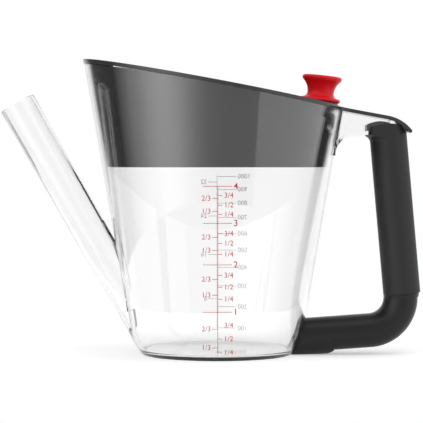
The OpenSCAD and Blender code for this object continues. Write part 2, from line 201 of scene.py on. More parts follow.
class ArmSettings(bpy.types.PropertyGroup):
    width: FloatProperty(
        name="Width", description="Width of the clear arm", default=20.6 * MM, unit="LENGTH")
    wall: FloatProperty(
        name="Wall", description="Thickness of the arm's walls", default=2.2 * MM, unit="LENGTH")
    end: FloatProperty(
        name="Reach", description="How far the arm reaches over the handle",
        default=102.3 * MM, unit="LENGTH")
    rise: FloatProperty(
        name="Rise", description="Slope of the arm's underside",
        default=math.radians(6.7), subtype="ANGLE")
    fillet: FloatProperty(
        name="Fillet", description="Curve from the arm's underside into the wall",
        default=10.5 * MM, unit="LENGTH")
    flare: FloatProperty(
        name="Flare", description="Hollow curve from the arm's sides into the wall",
        default=6.5 * MM, unit="LENGTH")
    curl_start: FloatProperty(
        name="Curl start", description="Where the strainer's tab starts to curl, along the rim's slope",
        default=99.8 * MM, unit="LENGTH")
    curl_radius: FloatProperty(
        name="Curl radius", description="Inner radius of that curl", default=20.6 * MM, unit="LENGTH")


class PrintSettings(bpy.types.PropertyGroup):
    front: FloatVectorProperty(
        name="Front ink", description="Colour of the front scale", default=(0.55, 0.02, 0.03), size=3,
        min=0, max=1, subtype="COLOR")
    back: FloatVectorProperty(
        name="Back ink", description="Colour of the back scale", default=(0.75, 0.75, 0.75), size=3,
        min=0, max=1, subtype="COLOR")
    line: FloatProperty(
        name="Line", description="Width of a printed line", default=0.30 * MM, unit="LENGTH")
    letter: FloatProperty(
        name="Fractions", description="Size of the printed fractions", default=4.1 * MM, unit="LENGTH")
    number: FloatProperty(
        name="Numbers", description="Size of the printed whole numbers",
        default=5.0 * MM, unit="LENGTH")
    thickness: FloatProperty(
        name="Ink thickness", description="Thickness of the layer of ink",
        default=0.04 * MM, unit="LENGTH")


class FinishSettings(bpy.types.PropertyGroup):
    smoke: FloatVectorProperty(
        name="Strainer", description="Colour of the strainer", default=(0.030, 0.030, 0.032), size=3,
        min=0, max=1, subtype="COLOR")
    grip: FloatVectorProperty(
        name="Grip", description="Colour of the soft grip", default=(0.016, 0.016, 0.0175), size=3,
        min=0, max=1, subtype="COLOR")
    core: FloatVectorProperty(
        name="Core", description="Colour of the handle's core", default=(0.012, 0.012, 0.013), size=3,
        min=0, max=1, subtype="COLOR")
    silicone: FloatVectorProperty(
        name="Stopper", description="Colour of the stopper", default=(0.70, 0.005, 0.012), size=3,
        min=0, max=1, subtype="COLOR")


class StageSettings(bpy.types.PropertyGroup):
    distance: FloatProperty(
        name="Camera distance", description="From the jug's axis", default=1.1264, unit="LENGTH")
    eye: FloatVectorProperty(
        name="Aim", description="Point on the jug's middle plane at the image's centre",
        default=(-3.2 * MM, 0.0, 82.94 * MM), size=3, subtype="XYZ")
    height: FloatProperty(
        name="Camera height", description="Height of the camera", default=0.11265, unit="LENGTH")
    view_width: FloatProperty(
        name="View width", description="Width of the view at the jug's axis",
        default=246.2 * MM, unit="LENGTH")
    world: FloatProperty(
        name="Room", description="Strength of the even light of the room", default=0.6)
    card: FloatProperty(
        name="Dark card", description="Brightness of the card that stands left behind the jug; 0 is black",
        default=0.01)
    left: FloatProperty(
        name="Left light", description="Strength of the soft round light on the left", default=2.2)
    right: FloatProperty(
        name="Right light", description="Strength of the wide light on the right, where it is brightest",
        default=0.62)
    back: FloatProperty(
        name="Backdrop", description="Strength of the white sheet behind the jug", default=0.35)
    top: FloatProperty(
        name="Top lamp", description="Strength of the soft lamp overhead", default=3.0)
    floor_radius: FloatProperty(
        name="Floor radius", description="Radius of the paper the jug stands on",
        default=0.30, unit="LENGTH")
    floor_lift: FloatProperty(
        name="Floor lift", description="How much brighter the paper looks than its light makes it",
        default=0.38)


SETTINGS = {
    "separator_jug": JugSettings,
    "separator_spout": SpoutSettings,
    "separator_arm": ArmSettings,
    "separator_print": PrintSettings,
    "separator_finish": FinishSettings,
    "separator_stage": StageSettings,
}


# ---- modelling helpers ----


def clear_selection():
    if bpy.context.object and bpy.context.object.mode != "OBJECT":
        bpy.ops.object.mode_set(mode="OBJECT")
    bpy.ops.object.select_all(action="DESELECT")


def pick(piece):
    clear_selection()
    piece.select_set(True)
    bpy.context.view_layer.objects.active = piece


def edit_all(piece):
    """Opens a piece in edit mode with all of it selected."""
    pick(piece)
    bpy.ops.object.mode_set(mode="EDIT")
    bpy.ops.mesh.select_all(action="SELECT")


def settle(piece, name):
    """Puts the place of a new piece into its mesh and names it."""
    pick(piece)
    bpy.ops.object.transform_apply(location=True, rotation=True, scale=True)
    piece.name = piece.data.name = name
    return piece


def draw_line(points, name, closed=True):
    """Extrudes a point along a line of points, then closes and fills the line unless told not to."""
    clear_selection()
    bpy.ops.mesh.primitive_plane_add(size=MM, location=points[0])
    piece = bpy.context.object
    edit_all(piece)
    bpy.ops.mesh.merge(type="CENTER")
    for last, point in zip(points, points[1:]):
        bpy.ops.mesh.extrude_vertices_move(
            TRANSFORM_OT_translate={"value": Vector(point) - Vector(last)})
    if closed:
        mesh = bmesh.from_edit_mesh(piece.data)
        for vert in mesh.verts:
            vert.select = len(vert.link_edges) == 1
        mesh.select_flush_mode()
        bmesh.update_edit_mesh(piece.data)
        bpy.ops.mesh.edge_face_add()
        bpy.ops.mesh.select_all(action="SELECT")
        bpy.ops.mesh.edge_face_add()
    bpy.ops.object.mode_set(mode="OBJECT")
    return settle(piece, name)


def faults_of(piece):
    """Counts the edges at which a piece isn't closed; an inside-out piece counts as one."""
    mesh = bmesh.new()
    mesh.from_mesh(piece.data)
    gaps = sum(1 for edge in mesh.edges if not edge.link_faces or len(edge.link_faces) % 2)
    inside_out = mesh.calc_volume(signed=True) <= 0
    mesh.free()
    return gaps + inside_out


def must_be_closed(piece):
    """Stops the script where a solid has a gap, because a boolean would fail on it without a word."""
    faults = faults_of(piece)
    if faults:
        raise RuntimeError(f"{piece.name} isn't a closed solid: {faults} faults")
    return piece


def outward(piece):
    """Merges a solid's doubled points and turns its faces outwards."""
    edit_all(piece)
    bpy.ops.mesh.remove_doubles(threshold=WELD)
    bpy.ops.mesh.normals_make_consistent(inside=False)
    bpy.ops.object.mode_set(mode="OBJECT")
    return must_be_closed(piece)


def turned(profile, name, steps):
    """Spins a half section, given as radius and height, round the upright axis."""
    piece = draw_line([(r, 0, z) for r, z in profile], name, closed=False)
    edit_all(piece)
    bpy.ops.mesh.spin(steps=steps, angle=2 * math.pi, center=(0, 0, 0), axis=(0, 0, 1))
    bpy.ops.object.mode_set(mode="OBJECT")
    return outward(piece)


def prism(points, along, name):
    """Extrudes a filled outline along a vector."""
    piece = draw_line(points, name)
    edit_all(piece)
    bpy.ops.mesh.extrude_region_move(TRANSFORM_OT_translate={"value": along})
    bpy.ops.object.mode_set(mode="OBJECT")
    return outward(piece)


def join_solids(piece, tool, operation):
    """Joins or cuts two solids, and tries again with the tool a hair aside where rounding leaves a gap."""
    must_be_closed(piece)
    must_be_closed(tool)
    before = piece.data.copy()
    for _ in range(JOIN_TRIES):
        pick(piece)
        modifier = piece.modifiers.new("solid", "BOOLEAN")
        modifier.object = tool
        modifier.operation = operation
        modifier.solver = "EXACT"
        bpy.ops.object.modifier_apply(modifier=modifier.name)
        edit_all(piece)
        bpy.ops.mesh.remove_doubles(threshold=JOIN_WELD)
        bpy.ops.mesh.dissolve_degenerate(threshold=WELD)
        bpy.ops.mesh.delete_loose()
        bpy.ops.mesh.select_all(action="SELECT")
        bpy.ops.mesh.fill_holes(sides=HOLE_SIDES)
        bpy.ops.object.mode_set(mode="OBJECT")
        faults = faults_of(piece)
        if not faults:
            break
        print(f"{piece.name}: {operation} with {tool.name} left {faults} faults, tried again")
        piece.data = before.copy()
        tool.location = tool.location + JOIN_NUDGE
    else:
        raise RuntimeError(f"{piece.name}: {operation} with {tool.name} leaves faults every time")
    bpy.data.objects.remove(tool)
    bpy.data.meshes.remove(before)
    return piece


def copy_of(piece, name):
    twin = piece.copy()
    twin.data = piece.data.copy()
    twin.name = name
    bpy.context.collection.objects.link(twin)
    return twin


def cut_level(piece, height, keep_below):
    """Cuts a piece at a height, fills the cut, and keeps what is below it or what is above it."""
    edit_all(piece)
    bpy.ops.mesh.bisect(
        plane_co=(0, 0, height), plane_no=(0, 0, 1), use_fill=True,
        clear_outer=keep_below, clear_inner=not keep_below)
    bpy.ops.object.mode_set(mode="OBJECT")
    return piece


def smooth(piece):
    pick(piece)
    bpy.ops.object.shade_smooth_by_angle(angle=SMOOTH_ANGLE)


def cube(low, high, name):
    clear_selection()
    low, high = Vector(low), Vector(high)
    bpy.ops.mesh.primitive_cube_add(size=1, location=(low + high) / 2, scale=high - low)
    return settle(bpy.context.object, name)


def arc(centre, radius, start, end, count):
    """Points of an arc from one angle to another, in degrees, with a count of steps between them."""
    return [
        (centre[0] + radius * math.cos(math.radians(start + (end - start) * i / count)),
         centre[1] + radius * math.sin(math.radians(start + (end - start) * i / count)))
        for i in range(count + 1)
    ]


# ---- the jug's shapes ----


def heel_centre(jug):
    """Centre of the heel's curve, which touches the wall and runs through the base's edge."""
    step = jug.wall_radius - jug.base_radius
    lean = jug.wall_lean
    run = (math.sqrt(2 * step * jug.heel_radius * math.cos(lean) - (step * math.cos(lean)) ** 2)
           - step * math.sin(lean))
    return (jug.wall_radius + run * math.sin(lean) - jug.heel_radius * math.cos(lean),
            run * math.cos(lean) + jug.heel_radius * math.sin(lean))


def wall_at(jug, z, inset=0.0):
    """Radius at a height of the straight wall's outside, or of a face that is inset from it."""
    return jug.wall_radius + z * math.tan(jug.wall_lean) - inset / math.cos(jug.wall_lean)


def jug_profile(jug, inset, corner, floor_z):
    """Half section of the jug from the axis, along its floor and wall, and back to the axis."""
    centre = heel_centre(jug)
    curve = jug.heel_radius - inset
    corner_z = floor_z + corner
    corner_x = centre[0] + math.sqrt((curve - corner) ** 2 - (centre[1] - corner_z) ** 2)
    join = math.degrees(math.atan2(corner_z - centre[1], corner_x - centre[0]))
    lean = math.degrees(jug.wall_lean)
    wall_foot_z = centre[1] - curve * math.sin(jug.wall_lean)
    points = [(0, floor_z), (corner_x / 2, floor_z), (corner_x, floor_z)]
    points += arc((corner_x, corner_z), corner, -90, join, count=8)[1:]
    points += arc(centre, curve, join, -lean, count=22)[1:]
    for i in range(1, WALL_RINGS + 1):
        z = wall_foot_z + (PROFILE_TOP - wall_foot_z) * i / WALL_RINGS
        points.append((wall_at(jug, z, inset), z))
    points.append((0, PROFILE_TOP))
    return points


def above_rim(jug, name):
    """All that lies above the slanting plane of the rim, as a solid to cut away."""
    half_length, half_width, depth = 200 * MM, 150 * MM, 160 * MM

    def at(x, above):
        return (x, -half_width, jug.rim_height - x * math.tan(jug.rim_fall) + above)

    outline = [at(-half_length, 0), at(half_length, 0), at(half_length, depth), at(-half_length, depth)]
    return prism(outline, (0, 2 * half_width, 0), name)


# ---- the spout's shapes ----


def spout_length(spout):
    """Length of the spout's axis, from its mouth to its foot."""
    return (spout.mouth_z - SPOUT_FOOT) / math.cos(spout.lean)


def spun_on_spout(spout, profile, name):
    """Spins a half section, given as radius and distance above the mouth, round the spout's axis."""
    piece = turned(profile, name, SPOUT_STEPS)
    piece.rotation_euler = (0, -spout.lean, 0)
    piece.location = (-spout.mouth_x, 0, spout.mouth_z)
    return settle(piece, name)


def tube_of(spout, name):
    """The spout's outside, with the outer edge of its mouth rounded."""
    length, edge = spout_length(spout), 0.5 * MM
    mouth = arc((spout.mouth_radius - edge, -edge), edge, 0, 90, count=6)
    profile = [(0, -length), (spout.root_radius, -length), *mouth, (0, 0)]
    return spun_on_spout(spout, profile, name)


def bore_of(spout, name, inset=0.0):
    """The spout's bore with its straight seat, widened a little where it meets the mouth."""
    length, edge, beyond = spout_length(spout), 0.4 * MM, 10 * MM
    fall = (spout.mouth_radius - spout.root_radius) / length
    seat = spout.mouth_radius - spout.wall - inset
    foot = spout.root_radius - spout.wall - inset - fall * beyond
    mouth = arc((seat + edge, -edge), edge, 180, 90, count=6)
    profile = [
        (0, -length - beyond), (foot, -length - beyond), (seat, -spout.seat),
        *mouth, (seat + edge, MM), (0, MM)]
    return spun_on_spout(spout, profile, name)


def web_of(jug, spout, name):
    """The thin web from the spout's axis to the wall, set 1 mm into the wall's outer face."""
    def spout_x(z):
        return -spout.mouth_x + (spout.mouth_z - z) * math.tan(spout.lean)

    def inside_x(z):
        return MM - wall_at(jug, z)

    side = -WEB_WIDTH / 2
    outline = [
        (spout_x(WEB_LOW), side, WEB_LOW), (spout_x(WEB_TOP), side, WEB_TOP),
        (inside_x(WEB_TOP), side, WEB_TOP), (inside_x(WEB_LOW), side, WEB_LOW)]
    return prism(outline, (0, WEB_WIDTH, 0), name)


def spout_with_web(jug, spout, core):
    """The open spout with its web, cut to fit the jug, whose core is the jug without its outer skin."""
    tube = tube_of(spout, "tube")
    join_solids(tube, web_of(jug, spout, "web"), "UNION")
    join_solids(tube, core, "DIFFERENCE")
    join_solids(tube, bore_of(spout, "bore"), "DIFFERENCE")
    return cut_level(tube, SPOUT_CUT, keep_below=False)


def drain_port(spout):
    """The stretch of the spout's bore that is cut through the jug's wall."""
    port = bore_of(spout, "port", PORT_INSET)
    cut_level(port, spout.port_low, keep_below=False)
    return cut_level(port, spout.port_top, keep_below=True)


# ---- the arm's shapes ----


def arm_side(jug, arm, inset):
    """Side outline of the arm, with the curve that runs into the wall."""
    fillet = arm.fillet
    slope, lean = math.tan(arm.rise), jug.wall_lean
    corner_z = ((ARM_UNDER[1] + (jug.wall_radius - ARM_UNDER[0]) * slope)
                / (1 - slope * math.tan(lean)))
    corner = Vector((wall_at(jug, corner_z), corner_z))
    run = fillet / math.tan((math.pi / 2 + lean + arm.rise) / 2)
    toe = corner + run * Vector((math.cos(arm.rise), math.sin(arm.rise)))
    centre = toe + fillet * Vector((math.sin(arm.rise), -math.cos(arm.rise)))
    start = math.degrees(math.pi / 2 + arm.rise)
    past_wall = 12
    curve = arc(centre, fillet + inset, start, 180 - math.degrees(lean) + past_wall, count=14)
    end_x = arm.end - inset
    first_x, first_z = curve[0]
    return [
        (end_x, first_z + (end_x - first_x) * slope), *curve,
        (jug.base_radius, curve[-1][1]), (jug.base_radius, ARM_TOP), (end_x, ARM_TOP)]


def arm_plan(ring, half, flare, inset, far):
    """Plan of an arm that leaves a round wall with a hollow curve on each side."""
    centre = (math.sqrt((ring + flare) ** 2 - (half + flare) ** 2), half + flare)
    touch_angle = math.degrees(math.atan2(-centre[1], -centre[0]))
    right = [(far, half - inset), *arc(centre, flare + inset, -90, touch_angle, count=12)]
    return right + [(0, 0)] + [(x, -y) for x, y in reversed(right)]


def arm_solid(jug, arm, inset, name):
    """What the arm's side outline and its plan, which is drawn square to the wall, have in common."""
    far = 120 * MM
    ring = wall_at(jug, ARM_MIDDLE) / math.cos(jug.wall_lean)
    body = prism([(x, -far / 2, z) for x, z in arm_side(jug, arm, inset)], (0, far, 0), name)
    outline = arm_plan(ring, arm.width / 2, arm.flare, inset, 2 * far)
    plan = prism([(x - ring, y, -far) for x, y in outline], (0, 0, 2 * far), "plan")
    plan.rotation_euler = (0, jug.wall_lean, 0)
    plan.location = (wall_at(jug, ARM_MIDDLE), 0, ARM_MIDDLE)
    settle(plan, "plan")
    return join_solids(body, plan, "INTERSECT")


def beyond_curl(jug, arm, name):
    """The room of the strainer's curl, as a solid to cut from the arm's end."""
    slope = jug.rim_fall
    past, above, half_width = 60 * MM, 40 * MM, 40 * MM
    outline = arc((arm.curl_start, -arm.curl_radius), arm.curl_radius - CURL_INSET, 90, 0, count=24)
    outline += [
        (arm.curl_start + past, -arm.curl_radius), (arm.curl_start + past, above),
        (arm.curl_start, above)]
    return prism([
        (x * math.cos(slope) + z * math.sin(slope), -half_width,
         jug.rim_height - x * math.sin(slope) + z * math.cos(slope)) for x, z in outline],
        (0, 2 * half_width, 0), name)


def hollow_arm(jug, arm, core):
    """The arm as an open trough, with room for the handle's tongue and the strainer's curl."""
    block = arm_solid(jug, arm, 0, "block")
    join_solids(block, arm_solid(jug, arm, arm.wall, "trough"), "DIFFERENCE")
    thick = arm.wall + SOCKET_INSET
    half = arm.width / 2 - thick
    socket = cube((SOCKET_START, -half, SOCKET_LOW), (arm.end - thick, half, SOCKET_TOP), "socket")
    join_solids(block, socket, "DIFFERENCE")
    join_solids(block, core, "DIFFERENCE")
    return join_solids(block, beyond_curl(jug, arm, "curl"), "DIFFERENCE")


# ---- printing ----


def flat_bar(left, right, low, high):
    """A bar of ink, flat and facing the reader, in squares small enough to bend round the wall."""
    clear_selection()
    width, height = right - left, high - low
    bpy.ops.mesh.primitive_grid_add(
        x_subdivisions=max(1, round(width / INK_SQUARE)),
        y_subdivisions=max(1, round(height / INK_SQUARE)), size=1,
        location=((left + right) / 2, 0, (low + high) / 2), rotation=(math.pi / 2, 0, 0))
    bar = bpy.context.object
    bar.scale = (width, height, 1)
    return settle(bar, "bar")


def upright_line(middle, line, lowest, highest):
    """The long line of a scale, between the heights of two marks in millimetres."""
    return flat_bar(middle - line / 2, middle + line / 2, lowest * MM, highest * MM)


def flat_text(text, size, side, bold=0.0):
    """Lettering made a mesh, flat and facing the reader, centred on height 0."""
    clear_selection()
    bpy.ops.object.text_add(rotation=(math.pi / 2, 0, 0))
    letters = bpy.context.object.data
    letters.body, letters.size, letters.offset = text, size, bold
    letters.align_x, letters.align_y = side, "CENTER"
    letters.resolution_u = 3
    bpy.ops.object.convert(target="MESH")
    return settle(bpy.context.object, "letters")


def print_marks(marks, line, tick, text_x, size, side, bold=0.0):
    """Ticks and lettering at each mark; equal ones are made once and copied."""
    made, pieces = {}, []
    for text, height in marks:
        if text not in made:
            made[text] = flat_text(text, size, side, bold)
        label = copy_of(made[text], "letters")
        label.location = (text_x, 0, height * MM)
        pieces.append(settle(label, "letters"))
        if tick:
            if "tick" not in made:
                made["tick"] = flat_bar(*tick, -line / 2, line / 2)
            bar = copy_of(made["tick"], "bar")
            bar.location = (0, 0, height * MM)
            pieces.append(settle(bar, "bar"))
    for piece in made.values():
        bpy.data.objects.remove(piece)
    return pieces


def wrap_print(pieces, name, shell, thickness, turn):
    """Joins flat ink, lays it on the jug's wall on the reader's side and gives it its thickness."""
    clear_selection()
    for piece in pieces:
        piece.select_set(True)
    bpy.context.view_layer.objects.active = pieces[0]
    bpy.ops.object.join()
    ink = bpy.context.object
    ink.rotation_euler = (0, 0, turn)
    ink.location = (INK_START * math.sin(turn), -INK_START * math.cos(turn), 0)
    settle(ink, name)
    edit_all(ink)
    bpy.ops.mesh.remove_doubles(threshold=INK_WELD)
    bpy.ops.object.mode_set(mode="OBJECT")
    wrap = ink.modifiers.new("wrap", "SHRINKWRAP")
    wrap.target = shell
    wrap.wrap_method = "PROJECT"
    wrap.wrap_mode = "ABOVE_SURFACE"
    wrap.use_project_y = True
    wrap.use_positive_direction = math.cos(turn) > 0
    wrap.use_negative_direction = math.cos(turn) < 0
    wrap.offset = INK_GAP
    bpy.ops.object.modifier_apply(modifier=wrap.name)
    if any(abs(vert.co.y) > INK_LIMIT for vert in ink.data.vertices):
        raise RuntimeError(f"{name} doesn't all lie on the wall")
    solid = ink.modifiers.new("ink", "SOLIDIFY")
    solid.thickness = thickness
    solid.offset = 1
    bpy.ops.object.modifier_apply(modifier=solid.name)
    return ink


# ---- materials ----


def new_group(name, inputs, outputs):
    """Starts a node group with named sockets; gives it with the nodes of its inputs and its outputs."""
    tree = bpy.data.node_groups.new(name, "ShaderNodeTree")
    for label, kind, value in inputs:
        socket = tree.interface.new_socket(name=label, in_out="INPUT", socket_type=kind)
        socket.default_value = value
    for label, kind in outputs:
        tree.interface.new_socket(name=label, in_out="OUTPUT", socket_type=kind)
    return tree, tree.nodes.new("NodeGroupInput"), tree.nodes.new("NodeGroupOutput")


def node(tree, kind, links=(), **values):
    """Adds a node, sets its fields, and sets or links its inputs."""
    item = tree.nodes.new(kind)
    for key, value in values.items():
        setattr(item, key, value)
    for socket, source in links:
        if isinstance(source, (int, float, tuple)):
            item.inputs[socket].default_value = source
        else:
            tree.links.new(source, item.inputs[socket])
    return item


def maths(tree, operation, one, other, clamp=False):
    """The result of an operation on two values or links."""
    return node(
        tree, "ShaderNodeMath", [(0, one), (1, other)], operation=operation, use_clamp=clamp).outputs[0]


def moulded_skin():
    """Fine moulded grain and slow changes of gloss, for every plastic and rubber."""
    name = "moulded skin"
    if name in bpy.data.node_groups:
        return bpy.data.node_groups[name]
    tree, source, result = new_group(
        name,
        [("Gloss", "NodeSocketFloat", 0.3), ("Gloss change", "NodeSocketFloat", 0.05),
         ("Grain size", "NodeSocketFloat", 2500.0)],
        [("Roughness", "NodeSocketFloat"), ("Height", "NodeSocketFloat"), ("Drift", "NodeSocketFloat")])
    place = node(tree, "ShaderNodeTexCoord").outputs["Object"]
    slow = node(tree, "ShaderNodeTexNoise", [("Vector", place), ("Scale", 45.0), ("Detail", 3.0)])
    fine = node(tree, "ShaderNodeTexNoise", [
        ("Vector", place), ("Scale", source.outputs["Grain size"]), ("Detail", 2.0)])
    centred = maths(tree, "SUBTRACT", slow.outputs["Fac"], 0.5)
    swing = maths(tree, "MULTIPLY", centred, source.outputs["Gloss change"])
    rough = maths(tree, "ADD", swing, source.outputs["Gloss"], clamp=True)
    tree.links.new(rough, result.inputs["Roughness"])
    tree.links.new(fine.outputs["Fac"], result.inputs["Height"])
    tree.links.new(slow.outputs["Fac"], result.inputs["Drift"])
    return tree


def finish_material(
        name, colour, gloss, gloss_change, grain_size, grain_depth, drift=0.12, edge=0.4 * MM, **surface):
    """A moulded finish: the skin group sets gloss and grain, and the edges catch light as if rounded."""
    material = bpy.data.materials.new(name)
    material.use_nodes = True
    tree = material.node_tree
    shader = tree.nodes["Principled BSDF"]
    skin = tree.nodes.new("ShaderNodeGroup")
    skin.node_tree = moulded_skin()
    skin.inputs["Gloss"].default_value = gloss
    skin.inputs["Gloss change"].default_value = gloss_change
    skin.inputs["Grain size"].default_value = grain_size
    darker = tuple(part * (1 - drift) for part in colour)
    lighter = tuple(min(1.0, part * (1 + drift)) for part in colour)
    tint = node(tree, "ShaderNodeMix", [
        ("Factor", skin.outputs["Drift"]), (6, (*darker, 1.0)), (7, (*lighter, 1.0))], data_type="RGBA")
    tree.links.new(tint.outputs[2], shader.inputs["Base Color"])
    tree.links.new(skin.outputs["Roughness"], shader.inputs["Roughness"])
    bump = node(tree, "ShaderNodeBump", [
        ("Height", skin.outputs["Height"]), ("Strength", 0.6), ("Distance", grain_depth)])
    if edge:
        rounded = node(tree, "ShaderNodeBevel", [("Radius", edge)], samples=6)
        tree.links.new(rounded.outputs["Normal"], bump.inputs["Normal"])
    tree.links.new(bump.outputs["Normal"], shader.inputs["Normal"])
    for socket, value in surface.items():
        shader.inputs[socket.replace("_", " ")].default_value = value
    return material


def clear_plastic(colour):
    """Clear plastic that lets most light through its shadow and is a little greyer where it is thick."""
    clear = finish_material(
        "clear plastic", colour, gloss=0.015, gloss_change=0.02, grain_size=300.0,
        grain_depth=0.002 * MM, drift=0.004, edge=0, IOR=1.53, Transmission_Weight=1.0)
    tree = clear.node_tree
    path = node(tree, "ShaderNodeLightPath")
    solid = node(tree, "ShaderNodeMapRange", [
        ("Value", path.outputs["Is Shadow Ray"]), ("To Min", 1.0), ("To Max", 0.06)])
    tree.links.new(solid.outputs["Result"], tree.nodes["Principled BSDF"].inputs["Alpha"])
    depth = node(tree, "ShaderNodeVolumeAbsorption", [
        ("Color", (0.91, 0.915, 0.915, 1.0)), ("Density", 20.0)])
    tree.links.new(depth.outputs["Volume"], tree.nodes["Material Output"].inputs["Volume"])
    return clear


def coat(piece, material):
    """Makes a material a new piece's only one."""
    piece.data.materials.clear()
    piece.data.materials.append(material)


def dress(name, material):
    """Gives a CAD node a better material in each of its slots."""
    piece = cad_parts[name]
    for slot in piece.material_slots:
        slot.material = material
    if not piece.material_slots:
        piece.data.materials.append(material)


# ---- stage ----


def paper_floor(stage):
    """A round sheet of paper, a hair under the jug, that looks white directly, mirrored and through."""
    clear_selection()
    bpy.ops.mesh.primitive_circle_add(
        vertices=160, radius=stage.floor_radius, fill_type="NGON", location=(0, 0, -0.05 * MM))
    floor = settle(bpy.context.object, "floor")
    paper = bpy.data.materials.new("white paper")
    paper.use_nodes = True
    tree = paper.node_tree
    shader = tree.nodes["Principled BSDF"]
    shader.inputs["Base Color"].default_value = (0.80, 0.80, 0.80, 1)
    shader.inputs["Roughness"].default_value = 0.9
    shader.inputs["Specular IOR Level"].default_value = 0.0
    shader.inputs["Emission Color"].default_value = (1, 1, 1, 1)
    path = node(tree, "ShaderNodeLightPath")
    mirrored = maths(
        tree, "MAXIMUM", path.outputs["Is Glossy Ray"], path.outputs["Is Transmission Ray"])
    seen = maths(tree, "MAXIMUM", mirrored, path.outputs["Is Camera Ray"])
    lift = maths(tree, "MULTIPLY", seen, stage.floor_lift)
    tree.links.new(lift, shader.inputs["Emission Strength"])
    floor.data.materials.append(paper)


def seen_straight(tree):
    """1 where a ray comes from the camera, or through clear parts without having been reflected."""
    path = node(tree, "ShaderNodeLightPath")
    unreflected = maths(tree, "LESS_THAN", path.outputs["Glossy Depth"], 0.5)
    through = maths(tree, "MULTIPLY", path.outputs["Is Transmission Ray"], unreflected)
    return maths(tree, "ADD", path.outputs["Is Camera Ray"], through, clamp=True)


def light_room(scene, stage):
    """White where it is seen directly or through the clear parts; soft lights and a dark card elsewhere."""
    world = bpy.data.worlds.new("room")
    scene.world = world
    world.use_nodes = True
    tree = world.node_tree
    back = tree.nodes["Background"]
    back.inputs["Color"].default_value = (1, 1, 1, 1)
    seen = seen_straight(tree)
    place = node(tree, "ShaderNodeTexCoord").outputs["Generated"]

    def towards(bearing, span, values, kind="SMOOTHSTEP"):
        """Goes from one value to another while the cosine of the angle to a bearing goes over a span."""
        turn = math.radians(bearing)
        along = node(tree, "ShaderNodeVectorMath", [
            (0, place), (1, (math.sin(turn), -math.cos(turn), 0.0))], operation="DOT_PRODUCT")
        return node(tree, "ShaderNodeMapRange", [
            ("Value", along.outputs["Value"]), ("From Min", span[0]), ("From Max", span[1]),
            ("To Min", values[0]), ("To Max", values[1])], interpolation_type=kind).outputs["Result"]

    def both(operation, one, other):
        return maths(tree, operation, one, other)

    focus = both("POWER", towards(ROUND_LIGHT, (0.0, 1.0), (0.0, 1.0), "LINEAR"), ROUND_FOCUS)
    soft = both("MULTIPLY", focus, stage.left)
    spread = towards(WIDE_LIGHT, (-0.2, 1.0), (0.0, stage.right), "LINEAR")
    wide = both("MULTIPLY", spread, towards(WIDE_EDGE, (-0.02, 0.02), (0.0, 1.0)))
    sheet = towards(BACKDROP, (0.50, 0.90), (stage.world, stage.world + stage.back))
    card = both("POWER", towards(DARK_CARD, (0.80, 0.94), (1.0, stage.card), "LINEAR"), 0.5)
    lights = both("MULTIPLY", both("ADD", both("ADD", soft, wide), sheet), card)
    unseen = both("SUBTRACT", 1.0, seen)
    strength = both("ADD", both("MULTIPLY", lights, unseen), seen)
    tree.links.new(strength, back.inputs["Strength"])


def hang_lamp(name, power, place, size):
    """A soft lamp, turned towards the jug."""
    data = bpy.data.lights.new(name, "AREA")
    data.shape = "RECTANGLE"
    data.size, data.size_y = size
    data.energy = power
    lamp = bpy.data.objects.new(name, data)
    bpy.context.collection.objects.link(lamp)
    lamp.location = place
    lamp.rotation_euler = (LAMP_AIM - Vector(place)).to_track_quat("-Z", "Y").to_euler()


# ---- operators ----


class SEPARATOR_OT_camera(bpy.types.Operator):
    """Sets the camera at the photograph's angle"""
    bl_idname = "separator.camera"
    bl_label = "Camera"

    def execute(self, context):
        stage = context.scene.separator_stage
        aim = Vector(stage.eye)
        place = Vector((aim.x, -stage.distance, stage.height))
        data = bpy.data.cameras.new("camera")
        data.sensor_width = 36
        reach = (aim - place).length
        data.lens = data.sensor_width * reach / stage.view_width
        data.clip_start, data.clip_end = 0.05, 20
        camera = bpy.data.objects.new("camera", data)
        context.collection.objects.link(camera)
        camera.location = place
        camera.rotation_euler = (aim - place).to_track_quat("-Z", "Y").to_euler()
        context.scene.camera = camera
        return {"FINISHED"}


class SEPARATOR_OT_jug(bpy.types.Operator):
    """Models the clear jug in one piece, with its spout and the arm over the handle"""
    bl_idname = "separator.jug"
    bl_label = "Clear jug"

    def execute(self, context):
        scene = context.scene
        jug, spout, arm = scene.separator_jug, scene.separator_spout, scene.separator_arm
        shell = turned(jug_profile(jug, 0, BASE_CORNER, 0), "jug_shell", jug.steps)
        inside = turned(jug_profile(jug, jug.wall, FLOOR_CORNER, jug.floor), "inside", jug.steps)
        core = turned(jug_profile(jug, LAP, BASE_CORNER, LAP), "core", jug.steps)
        join_solids(shell, inside, "DIFFERENCE")
        join_solids(shell, spout_with_web(jug, spout, copy_of(core, "core_copy")), "UNION")
        join_solids(shell, drain_port(spout), "DIFFERENCE")
        join_solids(shell, hollow_arm(jug, arm, core), "UNION")
        join_solids(shell, above_rim(jug, "above"), "DIFFERENCE")
        join_solids(shell, cube(*LUG, "lug"), "UNION")
        outward(shell)
        smooth(shell)
        coat(shell, clear_plastic(jug.colour))
        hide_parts("jug_vessel", "jug_arm", "spout_tube")
        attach(shell, "jug")
        return {"FINISHED"}


